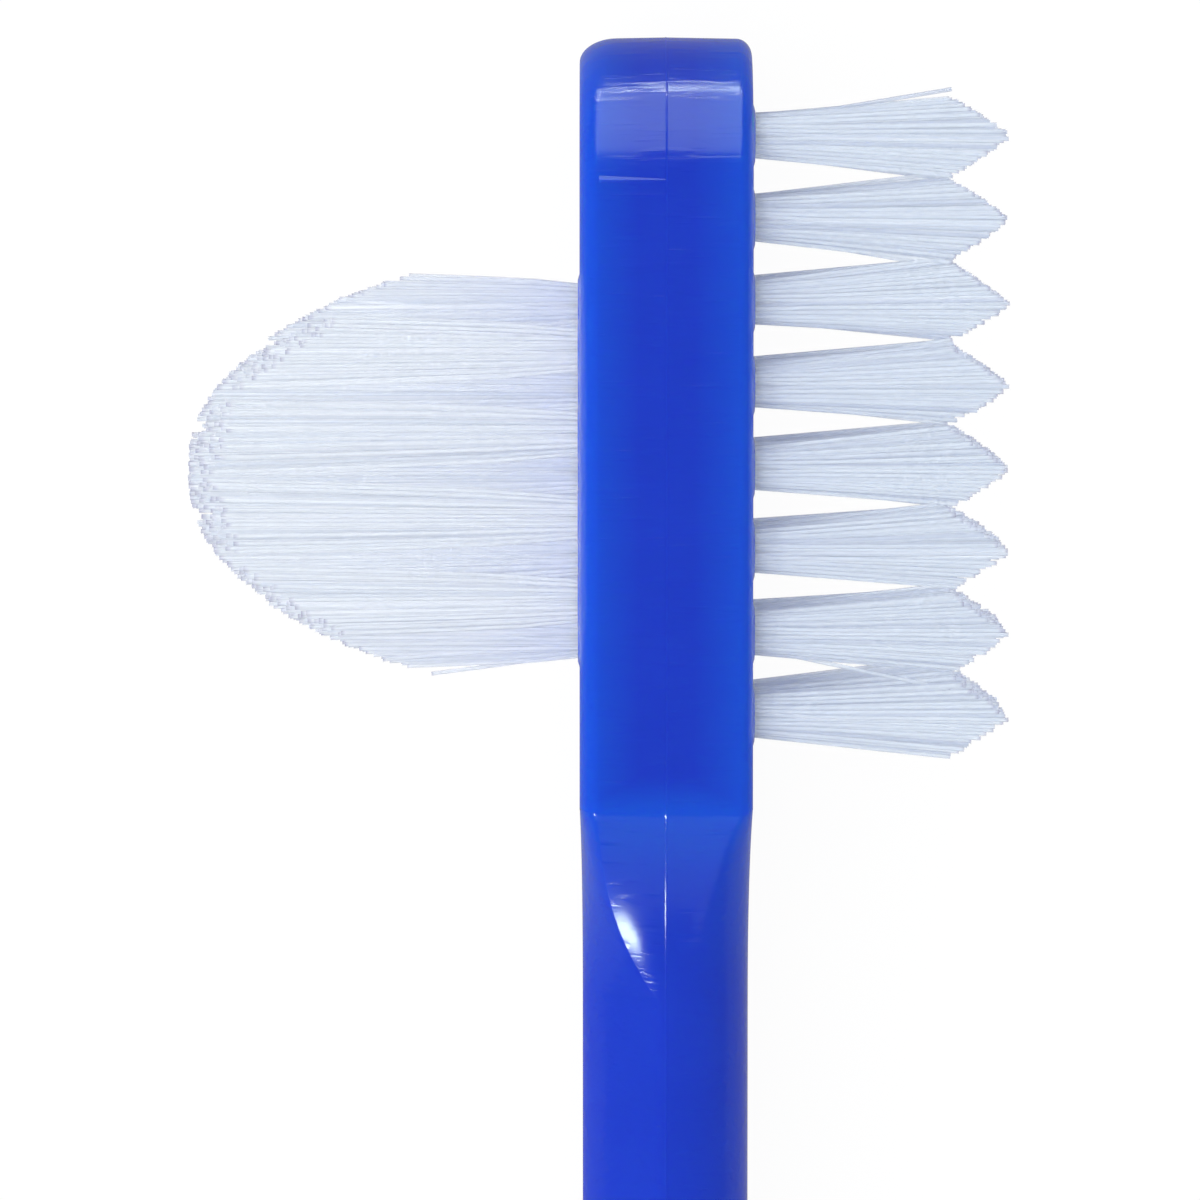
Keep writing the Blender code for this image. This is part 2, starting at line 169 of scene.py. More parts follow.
@named
class HandleSettings(bpy.types.PropertyGroup):
    """Sizes and colours of the moulding."""

    head_thickness: length("From the domed face to the row face", 8.9)
    head_flat: length("Straight length from the round tip to the shoulder", 32.3)
    shoulder: length("Length over which the head narrows to the neck", 10.0)
    neck_width: length("Across the broad face", 9.0)
    neck_thickness: length("Between the broad faces", 8.6)
    neck: length("Straight length of the neck", 27.0)
    swell: length("Length over which the neck widens to the grip", 26.0)
    grip: length("Straight length of the grip", 48.0)
    butt_width: length("Across the broad face, at the start of the round butt", 12.0)
    butt_thickness: length("Between the broad faces at the butt", 8.4)
    dome_edge: length("Reach of the domed side's edge onto the narrow side", 1.0)
    dome_drop: length("Reach of that edge onto the broad face", 1.2)
    row_edge: length("Reach of the row side's edge onto the narrow side", 0.8)
    row_drop: length("Reach of that edge onto the broad face", 0.9)
    tip_edge: length("Extra reach of the domed side's edge at the tip", 0.9)
    neck_flat: length("Half width of the flat strip left on the neck's narrow side", 0.5)
    neck_drop: length("Reach of the neck's rounding onto the broad face", 3.8)
    grip_edge: length("Edge radius of the grip and the butt", 3.3)
    shoulder_corner: share("Share of the shoulder that its first, tight bend takes", 0.06)
    panel_power: share("How late the domed side's flat panel closes in the shoulder", 2.4)
    neck_crease: share("Sharpness of the ridge beside the panel on the domed side", 0.5)
    crown: angle("Slope that the panel reaches at that ridge", 21)
    draft: angle("Slope of the narrow sides away from the parting line", 1)
    flash_width: length("Half width of the parting line's ridge", 0.06)
    flash_height: length("Height of the parting line's ridge", 0.0195)
    groove_count: IntProperty(description="On each face of the grip", default=7)
    groove_pitch: length("From one thumb groove to the next", 4.2)
    groove_depth: length("Depth of a thumb groove", 0.45)
    groove_reach: length("Half width of a thumb groove along the brush", 1.6)
    groove_inset: length("From the front of the grip to the first groove", 5.0)
    hole_diameter: length("Of the blind holes that hold the tufts", 2.5)
    hole_web: length("Plastic left between the holes of the two faces", 1.9)
    lip: length("Height of the rim pushed up round a hole", 0.1)
    lip_reach: length("From the hole's edge to the foot of its rim", 0.5)
    lip_width: length("Flat top of that rim", 0.08)
    insert_height: length("Height of the ridge that the mould's insert leaves", 0.08)
    insert_width: length("Half width of that ridge", 0.2)
    deep_blue: colour("Plastic where it is thick", "#072DB3")
    middle_blue: colour("Plastic in the lighter flow patches", "#0934BA")
    # Painted light: this paler blue stands in for light shining through the plastic near the broad faces,
    # and for a sheen on the shoulder's bend.
    painted_light_blue: colour("Plastic near the head's faces", "#0547C1")
    cloud_size: length("Of the soft flow patches", 6.0)
    smoothest: share("Roughness of the glossiest patches", 0.12)
    roughest: share("Roughness of the dullest patches", 0.22)
    ripple_width: length("Of a soft flow ripple, along the brush", 0.5)
    ripple_length: length("Of a soft flow ripple, across the brush", 3.0)
    ripple_depth: length("Of a soft flow ripple", 0.03)
    ripple_level: share("Height over which a ripple shows", 0.52)
    streak_width: length("Of a fine flow streak, along the brush", 0.16)
    streak_length: length("Of a fine flow streak, across the brush", 3.0)
    streak_depth: length("Of a fine flow streak", 0.016)
    streak_level: share("Height over which a streak shows", 0.64)
    scatter: length("How far blue light spreads inside the plastic", 1.6)
    gloss: share("Strength of its reflections, 0.5 for bare polypropylene", 0.8)
    gloss_tint: colour("Of what it reflects head on", "#E9FFF4")
    # Painted light: between these the plastic is painted paler near the broad faces, for light shining
    # through there, and at the shoulder's bend, for a sheen.
    edge_light_from: length("From the middle to where the plastic starts to pale", 1.4)
    edge_light_to: length("From the middle to where it is palest", 4.0)
    bend_before: length("Where the paleness starts, on the head", 2.0)
    bend_after: length("Where the paleness ends, in the shoulder", 5.5)


@named
class FilamentSettings(bpy.types.PropertyGroup):
    """Sizes, colours and clearness that all tufts share."""

    diameter: length("Of one filament", 0.23)
    per_tuft: IntProperty(description="Folded filaments in a tuft", default=34)
    clearance: length("Between the bundle and the wall of its hole", 0.06)
    mouth_share: share("Share of the anchor's gap that is closed at the mouth", 0.6)
    tip_jitter: length("How far a tip strays from the even fan", 0.13)
    cut_jitter: length("How much filaments differ in length", 0.18)
    stray_share: share("Share of filaments that lean out of their tuft", 0.015)
    stray_reach: length("How far the tip of a stray filament leans", 1.7)
    tip_colour: colour("Of the cut ends", "#9A9BB2")
    end_share: share("Share of a filament that takes the tint of its cut end", 0.018)
    shade_share: share("Share of filaments with some of the shade colour", 0.3)
    smoothest: share("Roughness of the glossiest filaments", 0.2)
    roughest: share("Roughness of the dullest filaments", 0.32)
    opacity: share("Share of the light that a filament's surface stops", 0.55)
    milkiness: length("How far light gets into a filament", 0.15)


@named
class RowTrimSettings(bpy.types.PropertyGroup):
    """The toothed trim of the short rows."""

    tip_radius: length("Half the width of a fanned row", 2.0)
    peak: length("Length on the middle line of a row", 13.2)
    drop: length("How much shorter the row is at its sides", 2.9)
    lean: length("How far a whole tuft's tip may lean along the brush", 0.35)
    body_colour: colour("Along the filament", "#C4CDD9")
    shade_colour: colour("Of the darker filaments", "#ABB5C8")


@named
class DomeTrimSettings(bpy.types.PropertyGroup):
    """The domed trim of the long cluster."""

    tip_radius: length("Half the width of a fanned tuft", 1.95)
    peak: length("Length at the top of the dome", 20.4)
    drop: length("How much shorter the cluster is at its two ends", 11.7)
    power: share("Fullness of the dome", 2.3)
    half_length: length("From the dome's middle to its end", 10.55)
    side_drop: length("How much shorter the outer columns are", 1.6)
    half_width: length("From the middle column to the cluster's side", 5.55)
    lean: length("How far a whole tuft's tip may lean along the brush", 0.2)
    fan_power: share("Under 1, the tufts fan out early and then run nearly parallel", 0.55)
    body_colour: colour("Along the filament", "#CCD2DA")
    shade_colour: colour("Of the darker filaments", "#BDC5D1")


@named
class AnchorSettings(bpy.types.PropertyGroup):
    """The flat anchors that hold the folds."""

    width: length("With the ends that bite into the wall", 3.0)
    height: length("Along the hole", 1.6)
    thickness: length("Of the metal strip", 0.3)
    fold: length("Room under the anchor for the folded filaments", 0.7)
    corner: length("Edge softened by shearing", 0.05)
    brass: colour("Of the strip", "#CBA763")
    line_width: length("Of a rolling line", 0.1)
    line_length: length("Of a rolling line", 2.0)
    line_depth: length("Of a rolling line", 0.005)
    smoothest: share("Roughness of the shiniest lines", 0.2)
    roughest: share("Roughness of the dullest lines", 0.45)


def with_lamps(group):
    """Add the settings of each lamp to a group."""
    for lamp, (radiance, turn, elevation, width, height) in LAMPS.items():
        group.__annotations__.update({
            f"{lamp}_radiance": share("Brightness of this lamp", radiance),
            f"{lamp}_turn": angle("From the tip towards the domed side", turn),
            f"{lamp}_elevation": angle("Of this lamp over the table", elevation),
            f"{lamp}_width": angle("Of this lamp, seen from the head", width),
            f"{lamp}_height": angle("Of this lamp, seen from the head", height),
        })
    return group


@named
@with_lamps
class StageSettings(bpy.types.PropertyGroup):
    """Camera, lamps, floor and surroundings."""

    view_width: length("Width of what the camera sees", 62.4)
    view_distance: length("From the camera down to the brush's middle", 411.0)
    view_side: length("Centre of the view, across the brush", -3.4)
    view_centre: length("Centre of the view, along the brush", -5.8)
    camera_along: length("Place of the camera along the brush", 23.3)
    near_clip: length("Nearest distance that the camera sees", 10.0)
    floor_size: length("Side of the floor", 3000.0)
    lamp_distance: length("From the head to each lamp", 500.0)
    window_layers: IntProperty(description="That round and soften the window's edge", default=4)
    window_fade: angle("How much narrower each layer is", 4)
    sides: share("Light from beside the brush, near the floor", 1.2)
    ends: share("Light from beyond the brush's ends, near the floor", 0.7)
    zenith: share("Light from overhead", 0.5)
    lean: share("Extra share of light from the domed side", 0.06)
    reflected: share("Brightness of the surroundings in glossy reflections", 0.24)
    floor_reflected: share("Brightness of the floor in glossy reflections", 0.38)
    shadow_share: share("Share of the floor's own shading that the camera sees", 0.05)
    floor_colour: colour("Of the table", "#F4F4F4")


def fill(node, inputs):
    """Fill a node's inputs with values or with other nodes' outputs."""
    for key, value in dict(inputs).items():
        if isinstance(value, bpy.types.NodeSocket):
            node.id_data.links.new(value, node.inputs[key])
        else:
            node.inputs[key].default_value = value


def add_node(tree, kind, inputs=(), **settings):
    """Add a node with its settings and its inputs filled, and give its outputs."""
    node = tree.nodes.new(kind)
    for name, value in settings.items():
        setattr(node, name, value)
    fill(node, inputs)
    return node.outputs


def add_formulas(tree, formulas, known):
    """Add a Math node for each formula, and keep its result among the known ones."""
    for result, operation, *operands in formulas:
        values = [known[value] if isinstance(value, str) else value for value in operands]
        known[result] = add_node(tree, "ShaderNodeMath", enumerate(values), operation=operation)[0]


def new_material(name):
    """A material with its node tree and its Principled shader."""
    material = bpy.data.materials.new(name)
    material.use_nodes = True
    tree = material.node_tree
    return material, tree, tree.nodes["Principled BSDF"]


def put(name, data):
    """A new object in the scene."""
    item = bpy.data.objects.new(name, data)
    bpy.context.scene.collection.objects.link(item)
    return item


def mesh_from(bm, name):
    """Turn a bmesh into a mesh with outward faces."""
    bmesh.ops.recalc_face_normals(bm, faces=bm.faces)
    mesh = bpy.data.meshes.new(name)
    bm.to_mesh(mesh)
    bm.free()
    return mesh


def evaluated_mesh(item):
    """The plain mesh that an object's modifiers make; the object itself goes."""
    graph = bpy.context.evaluated_depsgraph_get()
    mesh = bpy.data.meshes.new_from_object(
        item.evaluated_get(graph), preserve_all_data_layers=True, depsgraph=graph
    )
    bpy.data.objects.remove(item)
    return mesh


def combined(mesh, tool_mesh, operation):
    """The mesh after an exact Boolean with a tool mesh."""
    tool = put("tool", tool_mesh)
    base = put("base", mesh)
    cut = base.modifiers.new("combine", "BOOLEAN")
    cut.solver = "EXACT"
    cut.operation = operation
    cut.object = tool
    result = evaluated_mesh(base)
    bpy.data.objects.remove(tool)
    return result


def add_piece(name, mesh, material, nodes):
    """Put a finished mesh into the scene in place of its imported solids."""
    mesh.name = name
    mesh.materials.clear()
    mesh.materials.append(material)
    piece = put(name, mesh)
    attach(piece, "root")
    if nodes:
        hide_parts(*nodes)
    return piece


def hole_centre(node):
    """Where a tuft's hole stands along and across the head, read from the floor of its packed root."""
    low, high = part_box(node)
    floor = low.x if low.x > 0 else high.x
    reach = 0.01 * MM
    foot = [v.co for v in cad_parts[node].data.vertices if abs(v.co.x - floor) < reach]
    return sum(co.y for co in foot) / len(foot), sum(co.z for co in foot) / len(foot)


def out_of_face(x, y, z, side):
    """A frame whose local +Z points out of one broad face, with its local Y along the brush."""
    return Matrix.Translation((x, y, z)) @ Matrix.Rotation(side * QUARTER_TURN, 4, "Y")


# Handle


def ease(value):
    """A share that starts and ends level."""
    return value * value * (3 - 2 * value)


def section_keys(h):
    """The section at the front of each part of the moulding, with the steps to the next one."""
    head_half = h.head_thickness / 2
    head = (
        HALF_BRUSH, head_half, head_half - h.dome_edge, h.dome_drop,
        head_half - h.row_edge, h.row_drop, 0, 0,
    )
    neck = (
        h.neck_width / 2, h.neck_thickness / 2, h.neck_flat, h.neck_drop,
        h.neck_flat, h.neck_drop, h.neck_crease, math.tan(h.crown),
    )
    grip, butt = (
        (width, half, half - h.grip_edge, h.grip_edge, half - h.grip_edge, h.grip_edge, 0, 0)
        for width, half in ((HALF_BRUSH, GRIP_HALF_THICKNESS), (h.butt_width / 2, h.butt_thickness / 2))
    )
    head_front = TIP - HALF_BRUSH
    head_back = head_front - h.head_flat
    neck_front = head_back - h.shoulder
    neck_back = neck_front - h.neck
    grip_front = neck_back - h.swell
    return {
        "head": (Section(head_front, *head), HEAD_STEPS),
        "shoulder": (Section(head_back, *head), SHOULDER_STEPS),
        "neck": (Section(neck_front, *neck), NECK_STEPS),
        "swell": (Section(neck_back, *neck), SWELL_STEPS),
        "grip": (Section(grip_front, *grip), GRIP_STEPS),
        "tail": (Section(grip_front - h.grip, *grip), TAIL_STEPS),
        "butt": (Section(BUTT_END + h.butt_width / 2, *butt), 1),
    }


def shoulder_ease(value, corner):
    """A share that starts with a tight bend, then slopes down evenly to a level end, and its rate."""
    bent = value * value * (1 + corner) / (value + corner)
    bent_rate = (1 + corner) * (value * value + 2 * value * corner) / (value + corner) ** 2
    return 1 - (1 - bent) ** 2, 2 * (1 - bent) * bent_rate


def blend_sections(first, second, step_share, eased, late):
    """A section between two others; the domed side's panel follows its own share."""
    mixed = {
        field: a + (b - a) * (late if field == "dome_flat" else eased)
        for field, a, b in zip(Section._fields, first, second)
    }
    mixed["y"] = first.y + (second.y - first.y) * step_share
    return Section(**mixed)


def grooved(section, h, grip_front):
    """The section with its broad faces drawn in where a thumb groove crosses them."""
    first = grip_front - h.groove_inset
    nearest = min(max(round((first - section.y) / h.groove_pitch), 0), h.groove_count - 1)
    away = abs(section.y - (first - nearest * h.groove_pitch))
    if away >= h.groove_reach:
        return section
    drawn = h.groove_depth * math.cos(QUARTER_TURN * away / h.groove_reach) ** 2
    return section._replace(
        half_thickness=section.half_thickness - drawn,
        dome_flat=section.dome_flat - drawn,
        row_flat=section.row_flat - drawn,
    )


def side_sections(h):
    """Sections along the straight and swept sides, with the outward normal of the plan at each."""
    keys = section_keys(h)
    parts = list(keys.items())
    placed = []
    for (part, (first, steps)), (_, (second, _)) in zip(parts, parts[1:]):
        rise = second.half_width - first.half_width
        run = first.y - second.y
        for step in range(steps):
            step_share = step / steps
            eased, rate = ease(step_share), 6 * step_share * (1 - step_share)
            late = eased
            if part == "shoulder":
                eased, rate = shoulder_ease(step_share, h.shoulder_corner)
                late = step_share ** h.panel_power
            section = blend_sections(first, second, step_share, eased, late)
            normal = Vector((rate * rise / run, 1)).normalized()
            placed.append((grooved(section, h, keys["grip"][0].y), normal))
    placed.append((keys["butt"][0], Vector((0, 1))))
    return placed


def end_arc(section, direction, steps, extra_edge):
    """Sections round one end of the plan, from the apex to the side, with their normals."""
    radius = section.half_width
    arc = []
    for step in range(steps):
        angle = QUARTER_TURN * step / steps
        normal = Vector((direction * math.cos(angle), math.sin(angle)))
        wider = extra_edge * math.cos(angle) ** 2
        spot = section._replace(
            y=section.y + normal.x * radius, half_width=normal.y * radius,
            dome_flat=section.dome_flat - wider,
        )
        arc.append((spot, normal))
    return arc


def edge_profile(flat, half_thickness, drop, crease):
    """Inset and distance from the parting line round one edge, from the panel to the broad face."""
    points = []
    for step in range(EDGE_STEPS + 1):
        angle = QUARTER_TURN * step / EDGE_STEPS
        rounding = (1 - crease) * (1 - math.cos(angle)) + crease * math.sin(angle)
        points.append((drop * rounding, flat + (half_thickness - flat) * math.sin(angle)))
    return points


def cross_profile(section, h):
    """Inset and X of every ring across the thickness, from the domed face to the row face."""
    halves = []
    for flat, drop, crease, tilt in (
        (section.dome_flat, section.dome_drop, section.crease, section.tilt),
        (section.row_flat, section.row_drop, 0, 0),
    ):
        panel = [
            (0, h.flash_width + (flat - h.flash_width) * step / PANEL_STEPS) for step in range(PANEL_STEPS)
        ]
        half = []
        for inset, away in panel + edge_profile(flat, section.half_thickness, drop, crease):
            crown = tilt * min(away, flat) ** 2 / (2 * flat)
            sloped = math.tan(h.draft) * (away - h.flash_width)
            half.append((h.flash_height + sloped + crown + inset, away))
        halves.append(half)
    dome, row = halves
    return [(inset, -away) for inset, away in reversed(dome)] + [(0, 0)] + row


def handle_blank(h):
    """The moulding before its holes: rings of the plan, skinned, with both broad faces closed."""
    sides = side_sections(h)
    tip = end_arc(sides[0][0], 1, TIP_STEPS, h.tip_edge)
    butt = end_arc(sides[-1][0], -1, BUTT_STEPS, 0)
    columns = []
    for section, normal in tip + sides + butt[::-1]:
        columns.append([
            (x, section.y - normal.x * inset, section.half_width - normal.y * inset)
            for inset, x in cross_profile(section, h)
        ])
    bm = bmesh.new()
    loops = []
    for ring in zip(*columns):
        upper = [bm.verts.new((x, y, MIDDLE_HEIGHT + z)) for x, y, z in ring]
        lower = [bm.verts.new((x, y, MIDDLE_HEIGHT - z)) for x, y, z in ring[1:-1]]
        loops.append(upper + lower[::-1])
    count = len(loops[0])
    for loop, following in zip(loops, loops[1:]):
        for index in range(count):
            after = (index + 1) % count
            bm.faces.new((loop[index], loop[after], following[after], following[index]))
    for loop in (loops[0], loops[-1]):
        for index in range(count // 2):
            corners = [loop[index], loop[index + 1], loop[-index - 1], loop[-index]]
            bm.faces.new([vert for n, vert in enumerate(corners) if vert not in corners[:n]])
    return mesh_from(bm, "handle_blank")


def stubs(places, side, low, high, foot, top):
    """Round stubs on the holes of one face, between two heights over the brush's middle."""
    bm = bmesh.new()
    for y, z in places:
        bmesh.ops.create_cone(
            bm, cap_ends=True, segments=HOLE_SIDES, radius1=foot, radius2=top, depth=high - low,
            matrix=out_of_face(side * (low + high) / 2, y, z, side),
        )
    return mesh_from(bm, "stubs")


def insert_line_mesh(h):
    """The low ridges of the mould's insert on both narrow sides, from the parting line to one edge."""
    bm = bmesh.new()
    outer = h.head_thickness / 2 - h.dome_edge
    sunk = h.flash_height + math.tan(h.draft) * outer
    for side in SIDES.values():
        z = MIDDLE_HEIGHT + side * (HALF_BRUSH - sunk)
        size = (h.insert_height, h.insert_width, outer - h.flash_width)
        place = Matrix.Translation(((-outer - h.flash_width) / 2, TIP - HALF_BRUSH, z))
        bmesh.ops.create_cone(
            bm, cap_ends=True, segments=4, radius1=1, radius2=1, depth=1,
            matrix=place @ Matrix.Rotation(QUARTER_TURN, 4, "Y") @ Matrix.Diagonal((*size, 1)),
        )
    return mesh_from(bm, "insert_lines")


def softened(mesh):
    """Smooth shading with sharp edges kept, weighted so that flat faces stay flat beside their roundings."""
    mesh.shade_smooth()
    mesh.set_sharp_from_angle(angle=SMOOTH_ANGLE)
    item = put("softened", mesh)
    weighted = item.modifiers.new("weighted normals", "WEIGHTED_NORMAL")
    weighted.keep_sharp = True
    return evaluated_mesh(item)


def moulded_polypropylene(h):
    """Injection-moulded polypropylene: deep blue with soft flow patches, painted paler near the broad faces
    and at the shoulder's bend as painted light, with a soft gloss and fine flow ripples across the brush."""
    material, tree, shader = new_material("moulded_polypropylene")
    place = add_node(tree, "ShaderNodeTexCoord")["Object"]
    axes = add_node(tree, "ShaderNodeSeparateXYZ", {"Vector": place})
    away = add_node(tree, "ShaderNodeMath", {0: axes["X"]}, operation="ABSOLUTE")[0]
    bend = TIP - HALF_BRUSH - h.head_flat
    known = {}
    # Masks of the painted light: across the head towards the broad faces, along the head, and either side of
    # the shoulder's bend.
    for name, value, low, high, kind in (
        ("near_face", away, h.edge_light_from, h.edge_light_to, "LINEAR"),
        ("on_head", axes["Y"], bend - h.shoulder, bend, "LINEAR"),
        ("before_bend", axes["Y"], bend + h.bend_before, bend, "SMOOTHSTEP"),
        ("after_bend", axes["Y"], bend - h.bend_after, bend, "SMOOTHSTEP"),
    ):
        known[name] = add_node(
            tree, "ShaderNodeMapRange", {"Value": value, "From Min": low, "From Max": high},
            interpolation_type=kind,
        )["Result"]
    add_formulas(tree, PAINTED_LIGHT_FORMULAS, known)
    cloud = add_node(
        tree, "ShaderNodeTexNoise", {"Vector": place, "Scale": 1 / h.cloud_size, "Detail": 3.0}
    )["Fac"]
    blue = h.deep_blue
    # The flow patches are the plastic's own tone; the second mix is painted light, paler near the broad
    # faces and at the shoulder's bend.
    for factor, paler in ((cloud, h.middle_blue), (known["painted_light"], h.painted_light_blue)):
        blue = add_node(
            tree, "ShaderNodeMix", {"Factor": factor, MIX_FIRST: blue, MIX_SECOND: paler},
            data_type="RGBA",
        )[MIX_RESULT]
    roughness = add_node(
        tree, "ShaderNodeMapRange", {"Value": cloud, "To Min": h.smoothest, "To Max": h.roughest}
    )["Result"]
    relief = {}
    for width, along, depth, level in (
        (h.ripple_width, h.ripple_length, h.ripple_depth, h.ripple_level),
        (h.streak_width, h.streak_length, h.streak_depth, h.streak_level),
    ):
        stretched = add_node(
            tree, "ShaderNodeMapping", {"Vector": place, "Scale": (width / along, 1, 1)}
        )["Vector"]
        wave = add_node(
            tree, "ShaderNodeTexNoise", {"Vector": stretched, "Scale": 1 / width, "Detail": 1.0}
        )["Fac"]
        crests = add_node(tree, "ShaderNodeMapRange", {"Value": wave, "From Min": level})["Result"]
        bump = add_node(tree, "ShaderNodeBump", {"Height": crests, "Distance": depth, **relief})["Normal"]
        relief = {"Normal": bump}
    fill(shader, {
        "Base Color": blue, "Roughness": roughness, "IOR": 1.49, "Specular IOR Level": h.gloss,
        "Specular Tint": h.gloss_tint, "Subsurface Weight": 1.0, "Subsurface Radius": BLUE_SCATTER,
        "Subsurface Scale": h.scatter, **relief,
    })
    return material


class DENTURE_BRUSH_OT_handle(bpy.types.Operator):
    """Mould the handle, with its tuft holes, thumb grooves, parting line and insert lines"""

    bl_idname = "denture_brush.handle"
    bl_label = "Handle"

    def execute(self, context):
        h = context.scene.brush_handle
        mesh = combined(handle_blank(h), insert_line_mesh(h), "UNION")
        places = {field: [hole_centre(node) for node in nodes] for field, nodes in FIELDS.items()}
        face, rim = h.head_thickness / 2, h.hole_diameter / 2
        lip = (face - EMBED, face + h.lip, rim + h.lip_reach, rim + h.lip_width)
        drill = (h.hole_web / 2, face + h.hole_diameter, rim, rim)
        for sizes, operation in ((lip, "UNION"), (drill, "DIFFERENCE")):
            for field, side in SIDES.items():
                mesh = combined(mesh, stubs(places[field], side, *sizes), operation)
        add_piece("moulded_handle", softened(mesh), moulded_polypropylene(h), ["handle"])
        return {"FINISHED"}


# Tufts


TUFT_INPUTS = {
    "NodeSocketInt": ("Filaments", "Seed"),
    "NodeSocketFloat": (
        "Diameter", "Anchor Gap", "Mouth Share", "Root Radius", "Anchor Foot", "Fold Drop", "Tip Radius",
        "Fan Length", "Fan Power", "Peak", "Row Drop", "Dome Drop", "Dome Power", "Dome Half Length",
        "Side Drop", "Side Half Width", "Along Head", "Across Head", "Tuft Lean", "Tip Jitter",
        "Cut Jitter", "Stray Share", "Stray Reach",
    ),
    "NodeSocketMaterial": ("Nylon",),
}

BUNDLE_FORMULAS = (
    # A half disc on each side of the anchor, filled evenly.
    ("turns", "MULTIPLY", "strand", GOLDEN_SHARE),
    ("turn_share", "FRACT", "turns"),
    ("turn", "MULTIPLY", "turn_share", math.pi),
    ("turn_cosine", "COSINE", "turn"),
    ("turn_sine", "SINE", "turn"),
    ("strand_middle", "ADD", "strand", 0.5),
    ("area_share", "DIVIDE", "strand_middle", "Filaments"),
    ("radius_share", "SQRT", "area_share"),
    ("across_share", "MULTIPLY", "radius_share", "turn_cosine"),
    ("rise_share", "MULTIPLY", "radius_share", "turn_sine"),
    ("root_x", "MULTIPLY", "across_share", "Root Radius"),
    ("root_y", "MULTIPLY", "rise_share", "Root Radius"),
    ("free_room", "SUBTRACT", "Root Radius", "Anchor Gap"),
    ("anchored_y", "MULTIPLY_ADD", "rise_share", "free_room", "Anchor Gap"),
    ("filament_radius", "DIVIDE", "Diameter", 2),
    # Steps from the fold to either tip.
    ("signed_step", "SUBTRACT", "step", TIP_AT),
    ("side", "SIGN", "signed_step"),
    ("away", "ABSOLUTE", "signed_step"),
    ("fold_steps", "DIVIDE", "away", FOOT_AT),
    ("fold_share", "MINIMUM", "fold_steps", 1),
    ("fold_turn", "MULTIPLY", "fold_share", QUARTER_TURN),
    ("fold_sine", "SINE", "fold_turn"),
    ("fold_cosine", "COSINE", "fold_turn"),
    ("past_foot", "SUBTRACT", "away", FOOT_AT),
    ("risen_steps", "DIVIDE", "past_foot", MOUTH_AT - FOOT_AT),
    ("risen_floor", "MAXIMUM", "risen_steps", 0),
    ("risen", "MINIMUM", "risen_floor", 1),
    ("past_mouth", "SUBTRACT", "away", MOUTH_AT),
    ("free_steps", "MAXIMUM", "past_mouth", 0),
    ("free", "DIVIDE", "free_steps", TIP_AT - MOUTH_AT),
    # Each of a filament's two ends has its own number.
    ("second_end", "GREATER_THAN", "side", 0),
    ("end", "MULTIPLY_ADD", "strand", 2, "second_end"),
    ("stray_seed", "ADD", "Seed", 1),
    ("tone_seed", "ADD", "Seed", 2),
)

TRIM_FORMULAS = (
    # Where the end leans.
    ("more_reach", "SUBTRACT", "Stray Reach", "Tip Jitter"),
    ("reach", "MULTIPLY_ADD", "stray", "more_reach", "Tip Jitter"),
    ("lean_x", "MULTIPLY", "X", "Tip Jitter"),
    ("lean_y", "MULTIPLY_ADD", "Y", "reach", "Tuft Lean"),
    # Where it meets the trim.
    ("tip_x", "MULTIPLY_ADD", "across_share", "Tip Radius", "lean_x"),
    ("fanned_rise", "MULTIPLY", "rise_share", "Tip Radius"),
    ("tip_y", "MULTIPLY_ADD", "fanned_rise", "side", "lean_y"),
    # How much the trim takes off.
    ("off_row", "ABSOLUTE", "tip_y"),
    ("row_reach", "DIVIDE", "off_row", "Tip Radius"),
    ("row_share", "MINIMUM", "row_reach", 1),
    ("row_cut", "MULTIPLY", "row_share", "Row Drop"),
    ("along", "ADD", "Along Head", "tip_y"),
    ("off_middle", "ABSOLUTE", "along"),
    ("dome_reach", "DIVIDE", "off_middle", "Dome Half Length"),
    ("dome_share", "POWER", "dome_reach", "Dome Power"),
    ("dome_cut", "MULTIPLY", "dome_share", "Dome Drop"),
    ("across", "ADD", "Across Head", "tip_x"),
    ("side_reach", "DIVIDE", "across", "Side Half Width"),
    ("side_share", "POWER", "side_reach", 2),
    ("side_cut", "MULTIPLY", "side_share", "Side Drop"),
    ("uneven", "MULTIPLY", "Z", "Cut Jitter"),
    ("row_length", "SUBTRACT", "Peak", "row_cut"),
    ("dome_length", "SUBTRACT", "row_length", "dome_cut"),
    ("side_length", "SUBTRACT", "dome_length", "side_cut"),
    ("full", "SUBTRACT", "side_length", "uneven"),
    # How far the fan has opened and the anchor's gap has closed.
    ("height", "MULTIPLY", "free", "full"),
    ("spread", "DIVIDE", "height", "Fan Length"),
    ("opened", "POWER", "spread", "Fan Power"),
    ("fan", "DIVIDE", "Tip Radius", "Root Radius"),
    ("fan_growth", "SUBTRACT", "fan", 1),
    ("grown", "MULTIPLY_ADD", "opened", "fan_growth", 1),
    ("closed_steps", "MULTIPLY_ADD", "risen", "Mouth Share", "free_steps"),
    ("closed", "MINIMUM", "closed_steps", 1),
    ("closing", "SUBTRACT", "root_y", "anchored_y"),
    ("parted_y", "MULTIPLY_ADD", "closing", "closed", "anchored_y"),
    # The place of the point.
    ("leaned_x", "MULTIPLY", "lean_x", "free"),
    ("x", "MULTIPLY_ADD", "root_x", "grown", "leaned_x"),
    ("opened_y", "MULTIPLY", "parted_y", "grown"),
    ("folded_y", "MULTIPLY", "opened_y", "fold_sine"),
    ("leaned_y", "MULTIPLY", "lean_y", "free"),
    ("y", "MULTIPLY_ADD", "folded_y", "side", "leaned_y"),
    ("nested", "DIVIDE", "anchored_y", "Root Radius"),
    ("fold_depth", "MULTIPLY", "nested", "Fold Drop"),
    ("sunk", "MULTIPLY", "fold_depth", "fold_cosine"),
    ("still_to_rise", "SUBTRACT", 1, "risen"),
    ("below", "MULTIPLY", "still_to_rise", "Anchor Foot"),
    ("risen_height", "SUBTRACT", "height", "below"),
    ("z", "SUBTRACT", "risen_height", "sunk"),
)


